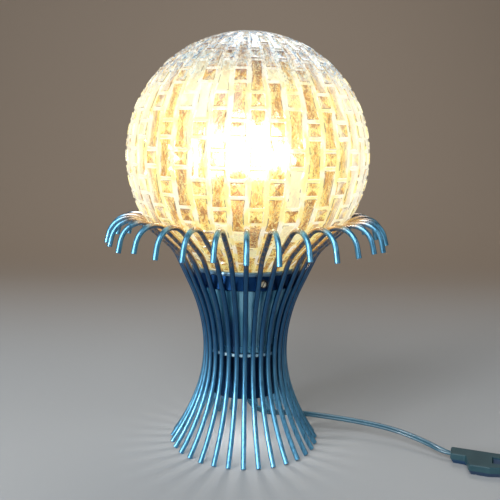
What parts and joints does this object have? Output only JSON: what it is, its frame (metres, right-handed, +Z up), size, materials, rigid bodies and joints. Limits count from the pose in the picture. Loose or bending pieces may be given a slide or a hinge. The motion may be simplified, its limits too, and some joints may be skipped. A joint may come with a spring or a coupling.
{
  "type": "table lamp",
  "caption": "Table lamp: a hollow pressed-glass globe in a waisted cage of bent rods with curled tips, with a flat cord, an inline switch and a plug.",
  "frame": {"origin": "on the lamp's axis at the floor that the rod feet stand on", "axes": "+Z up along the lamp's axis, -Y towards the lamp's front, +X towards the side that the cord leaves"},
  "size_m": [0.4815, 0.2625, 0.3852],
  "materials": {
    "rod_metal": "metallic blue lacquer over steel, glossy",
    "navy_lacquer": "glossy navy lacquer",
    "cream_lacquer": "worn cream lacquer",
    "screw_brass": "dulled brass",
    "blue_mirror": "polished blue metal",
    "bright_metal": "bright turned metal",
    "dark_lacquer": "satin dark lacquer",
    "plain_steel": "zinc plated",
    "holder_plastic": "moulded, dark brown",
    "porcelain": "white glazed porcelain",
    "contact_brass": "plain brass",
    "bulb_glass": "frosted",
    "bulb_cap": "rolled thread",
    "globe_glass": "clear pressed glass, brick relief",
    "cord_plastic": "blue-grey flexible plastic",
    "lead_plastic": "insulated leads",
    "switch_navy": "moulded navy",
    "switch_green": "moulded dark green-teal",
    "pin_metal": "nickel plated"
  },
  "bodies": {
    "root": {"rod_pair_01": "rod_metal", "rod_pair_02": "rod_metal", "rod_pair_03": "rod_metal", "rod_pair_04": "rod_metal", "rod_pair_05": "rod_metal", "rod_pair_06": "rod_metal", "rod_pair_07": "rod_metal", "rod_pair_08": "rod_metal", "rod_pair_09": "rod_metal", "rod_pair_10": "rod_metal", "rod_pair_11": "rod_metal", "rod_pair_12": "rod_metal", "rod_pair_13": "rod_metal", "rod_pair_14": "rod_metal", "rod_pair_15": "rod_metal", "rod_pair_16": "rod_metal", "gallery": "navy_lacquer", "gallery_rim": "cream_lacquer", "sleeve": "blue_mirror", "sleeve_collar": "bright_metal", "waist_plate": "bright_metal", "lower_skirt": "dark_lacquer", "threaded_tube": "plain_steel", "bottom_nut": "plain_steel", "gallery_nut": "plain_steel", "holder_nut": "plain_steel", "strain_relief": "cord_plastic", "leads": "lead_plastic", "holder_cap": "holder_plastic", "holder_shell": "holder_plastic", "holder_ring": "holder_plastic", "holder_insert": "porcelain", "holder_contacts": "contact_brass", "cord_to_switch": "cord_plastic", "cord_to_coil": "cord_plastic", "cord_to_plug": "cord_plastic", "cord_coil": "cord_plastic", "switch_base": "switch_navy", "switch_cover": "switch_green", "switch_pivot": "plain_steel", "switch_contacts": "contact_brass", "switch_screws": "plain_steel", "switch_cord_clamps": "switch_navy", "plug_body": "cord_plastic", "plug_pins": "pin_metal"},
    "rocker": {"switch_rocker": "switch_navy"},
    "screw_1": {"gallery_screw_1": "screw_brass"},
    "screw_2": {"gallery_screw_2": "screw_brass"},
    "screw_3": {"gallery_screw_3": "screw_brass"},
    "globe": {"globe": "globe_glass"},
    "bulb": {"bulb_glass": "bulb_glass", "bulb_cap": "bulb_cap", "bulb_contact": "contact_brass"}
  },
  "joints": [
    {"name": "switch_rock", "type": "hinge", "parent": "root", "child": "rocker", "pos_m": [0.23231, -0.06752, 0.0066], "axis": [0.3289, 0.9444, 0], "range_deg": [0, 12]},
    {"name": "globe_lift", "type": "slide", "parent": "root", "child": "globe", "axis": [0, 0, 1], "range_m": [0, 0.25]},
    {"name": "bulb_unscrew", "type": "slide", "parent": "root", "child": "bulb", "axis": [0, 0, 1], "range_m": [0, 0.025]},
    {"name": "screw_1_out", "type": "slide", "parent": "root", "child": "screw_1", "axis": [0.2903, -0.9569, 0], "range_m": [0, 0.004]},
    {"name": "screw_2_out", "type": "slide", "parent": "root", "child": "screw_2", "axis": [0.6344, 0.773, 0], "range_m": [0, 0.004]},
    {"name": "screw_3_out", "type": "slide", "parent": "root", "child": "screw_3", "axis": [-0.9569, 0.2903, 0], "range_m": [0, 0.004]}
  ]
}
